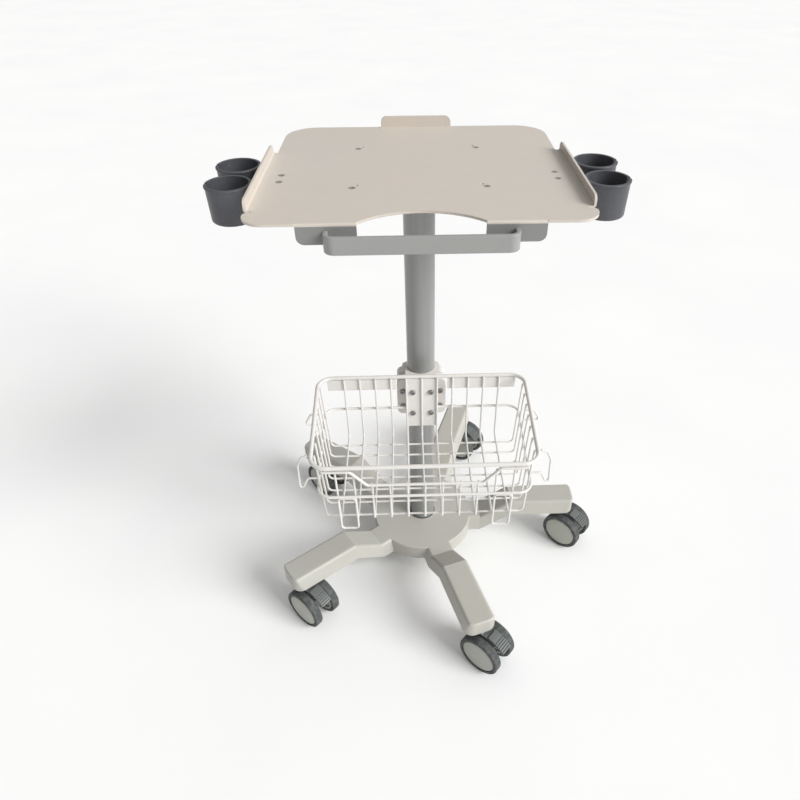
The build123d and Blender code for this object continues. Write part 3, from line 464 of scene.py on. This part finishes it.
def tyre_profile():
    """A tread with rounded shoulders, a shallow mould line and a lip round the wheel cover."""
    top = TYRE_RADIUS - TYRE_ROUND
    middle = (WHEEL_INNER + WHEEL_OUTER) / 2
    inner_shoulder = arc((top, WHEEL_INNER + TYRE_ROUND), TYRE_ROUND, -90, 0)
    outer_shoulder = arc((top, WHEEL_OUTER - TYRE_ROUND), TYRE_ROUND, 0, 90)
    mould_line = [
        (TYRE_RADIUS, middle - MOULD_LINE_TOP),
        (TYRE_RADIUS - MOULD_LINE_DEPTH, middle - MOULD_LINE_FOOT),
        (TYRE_RADIUS - MOULD_LINE_DEPTH, middle + MOULD_LINE_FOOT),
        (TYRE_RADIUS, middle + MOULD_LINE_TOP),
    ]
    lip = arc((TYRE_BORE + LIP_RISE, WHEEL_OUTER - LIP_ROUND), LIP_ROUND, 90, 180, 3)
    groove = [
        (TYRE_BORE + GROOVE_RISE, COVER_EDGE - GROOVE_DEPTH),
        (TYRE_BORE, COVER_EDGE - 1.0),
    ]
    bore = [(TYRE_BORE, WHEEL_INNER + BORE_CHAMFER), (TYRE_BORE + BORE_CHAMFER, WHEEL_INNER)]
    return inner_shoulder + mould_line + outer_shoulder + lip + groove + bore


def disc_profile():
    """The hard centre: a domed cover outside, a recessed web and a boss inside."""
    rise = COVER_CROWN - COVER_EDGE
    dome_radius = ((TYRE_BORE - 0.8) ** 2 + rise**2) / (2 * rise)
    centre = COVER_CROWN - dome_radius
    dome = []
    for step in range(DOME_STEPS + 1):
        radius = DOME_RADIUS * (1 - step / DOME_STEPS)
        dome.append((radius, centre + math.sqrt(dome_radius**2 - radius**2)))
    rim = [
        (TYRE_BORE - COVER_GAP, WHEEL_INNER + BORE_CHAMFER),
        (TYRE_BORE - COVER_GAP, COVER_EDGE - GROOVE_DEPTH),
        (TYRE_BORE - 0.7, COVER_EDGE - 0.2),
        (TYRE_BORE - 1.3, COVER_EDGE + 0.15),
        (28.3, COVER_EDGE + 0.2),
        (27.9, COVER_EDGE + 0.05),
    ]
    socket = [
        (0.0, AXLE_BORE_END),
        (AXLE_BORE, AXLE_BORE_END),
        (AXLE_BORE, WHEEL_INNER + 0.4),
    ]
    web = [
        (9.2, WHEEL_INNER + 0.4),
        (10.0, WHEEL_INNER + 1.2),
        (10.4, WHEEL_INNER + WEB_DEPTH),
        (26.2, WHEEL_INNER + WEB_DEPTH),
        (27.0, WHEEL_INNER + 0.6),
    ]
    return rim + dome + socket + web


def build_wheels():
    """Replaces each tread ring and wheel centre with a finely turned one."""
    for joint in frame["joints"]:
        if not joint["name"].endswith("_roll"):
            continue
        number, side = joint["name"].split("_")[1:3]
        outward = Vector(joint["axis"]) * (1 if side == "b" else -1)
        for part, profile, slot in (
            ("tyre", tyre_profile(), "tread_grey"),
            ("disc", disc_profile(), "wheel_cover"),
        ):
            made = lathe(f"wheel_{part}_{number}{side}", profile, joint["pos_m"], outward)
            made.data.materials.append(MATERIALS[slot])
            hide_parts(f"caster_{number}_{part}_{side}")
            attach(made, joint["child"])


build_wheels()


# ============================== small details ==============================

HUB_BOSS_TOP = 75.0
FOOT_RING_INNER = 22.45
FOOT_RING_OUTER = 24.1
FOOT_RING_HEIGHT = 1.5
FOOT_RING_ROUND = 0.7
FOOT_RING_CHAMFER = 0.3
FOOT_RING_LIFT = 0.02
FLOOR_WIRE = 1.5
LONG_PITCH = 24.2
LONG_SIDE_COUNT = 5
CROSS_PITCH = 24.8
CROSS_COUNT = 7
BEAD_RADIUS = 1.9
BEAD_SMALLEST = 0.9
BEAD_LARGEST = 1.12
BEAD_SQUASH = 0.62
BEAD_SEED = 7
REAR_WIRE_INSET = 4.5


def build_foot_ring():
    """A thin dark ring round the column's foot, where the column enters the hub."""
    shoulder = (FOOT_RING_OUTER - FOOT_RING_ROUND, HUB_BOSS_TOP + FOOT_RING_HEIGHT - FOOT_RING_ROUND)
    profile = [
        (FOOT_RING_INNER, HUB_BOSS_TOP + FOOT_RING_LIFT),
        (FOOT_RING_OUTER, HUB_BOSS_TOP + FOOT_RING_LIFT),
        *arc(shoulder, FOOT_RING_ROUND, 0, 90, 5),
        (FOOT_RING_INNER + FOOT_RING_CHAMFER, HUB_BOSS_TOP + FOOT_RING_HEIGHT),
        (FOOT_RING_INNER, HUB_BOSS_TOP + FOOT_RING_HEIGHT - FOOT_RING_CHAMFER),
    ]
    ring = lathe("column_foot_ring", profile, COLUMN_FOOT, (0, 0, 1))
    ring.data.materials.append(MATERIALS["tread_grey"])
    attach(ring, "base")


def build_weld_beads():
    """The small beads left by spot welding wherever two of the basket's floor wires cross."""
    floor_low, floor_high = (Vector(corner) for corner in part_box("basket_floor"))
    seam = floor_low.z + 2 * FLOOR_WIRE * MM
    rear_wire = floor_high.y - FLOOR_WIRE * MM
    rng = random.Random(BEAD_SEED)
    mesh = bmesh.new()
    for i in range(-LONG_SIDE_COUNT, LONG_SIDE_COUNT + 1):
        for k in range(CROSS_COUNT):
            x = COLUMN_FOOT.x + i * LONG_PITCH * MM
            y = rear_wire - (CROSS_PITCH * (k + 1) - REAR_WIRE_INSET) * MM
            size = BEAD_RADIUS * MM * rng.uniform(BEAD_SMALLEST, BEAD_LARGEST)
            squash = Matrix.Diagonal((size, size, size * BEAD_SQUASH, 1.0))
            bead = Matrix.Translation((x, y, seam)) @ squash
            bmesh.ops.create_icosphere(mesh, subdivisions=3, radius=1.0, matrix=bead)
    beads = piece_from(mesh, "basket_weld_beads")
    beads.data.materials.append(MATERIALS["wire_white"])
    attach(beads, "base")


build_foot_ring()
build_weld_beads()


# ============================ floor and light ============================

def build_floor():
    """A plain pale floor that reaches past the edge of any view from above."""
    bpy.ops.mesh.primitive_plane_add(size=FLOOR_SIZE, location=(0, 0, 0))
    floor = bpy.context.object
    floor.name = "studio_floor"
    floor.data.materials.append(plain_floor("studio_floor"))


def build_window():
    """A distant wide light, so that the floor is lit evenly and shadows are soft."""
    lamp = bpy.data.lights.new("window", "SUN")
    lamp.energy = WINDOW_STRENGTH
    lamp.angle = WINDOW_WIDTH
    holder = bpy.data.objects.new("window", lamp)
    holder.rotation_euler = Vector(WINDOW_DIRECTION).to_track_quat("Z", "Y").to_euler()
    bpy.context.scene.collection.objects.link(holder)


def build_world():
    """A white room whose brightness grows from the dim side to the bright side."""
    world = bpy.data.worlds.new("studio")
    world.use_nodes = True
    background = world.node_tree.nodes["Background"]
    background.inputs["Color"].default_value = (1.0, 1.0, 1.0, 1.0)
    add = world.node_tree.nodes.new
    join = world.node_tree.links.new
    direction = add("ShaderNodeTexCoord")
    facing = add("ShaderNodeVectorMath")
    facing.operation = "DOT_PRODUCT"
    facing.inputs[1].default_value = Vector(BRIGHT_SIDE).normalized()
    join(direction.outputs["Generated"], facing.inputs[0])
    strength = add("ShaderNodeMapRange")
    strength.inputs["From Min"].default_value = -1.0
    strength.inputs["To Min"].default_value = DIM_STRENGTH
    strength.inputs["To Max"].default_value = BRIGHT_STRENGTH
    join(facing.outputs["Value"], strength.inputs["Value"])
    join(strength.outputs["Result"], background.inputs["Strength"])
    bpy.context.scene.world = world


def build_camera():
    """The camera looks down at the cart from the front, close to it and a little to the left."""
    lens = bpy.data.cameras.new("camera")
    lens.lens = CAMERA_LENS
    lens.shift_x = CAMERA_SHIFT_X
    lens.clip_start = CAMERA_NEAR
    camera = bpy.data.objects.new("camera", lens)
    ahead = Vector(
        (
            math.sin(CAMERA_YAW) * math.cos(CAMERA_PITCH),
            math.cos(CAMERA_YAW) * math.cos(CAMERA_PITCH),
            -math.sin(CAMERA_PITCH),
        )
    )
    right = Vector((math.cos(CAMERA_YAW), -math.sin(CAMERA_YAW), 0))
    up = right.cross(ahead)
    turned_right = math.cos(CAMERA_ROLL) * right - math.sin(CAMERA_ROLL) * up
    turned_up = math.sin(CAMERA_ROLL) * right + math.cos(CAMERA_ROLL) * up
    turn = Matrix((turned_right, turned_up, -ahead)).transposed()
    camera.matrix_world = Matrix.Translation(CAMERA_PLACE) @ turn.to_4x4()
    bpy.context.scene.collection.objects.link(camera)
    bpy.context.scene.camera = camera


build_floor()
build_world()
build_window()
build_camera()
bpy.context.scene.view_settings.view_transform = "Standard"
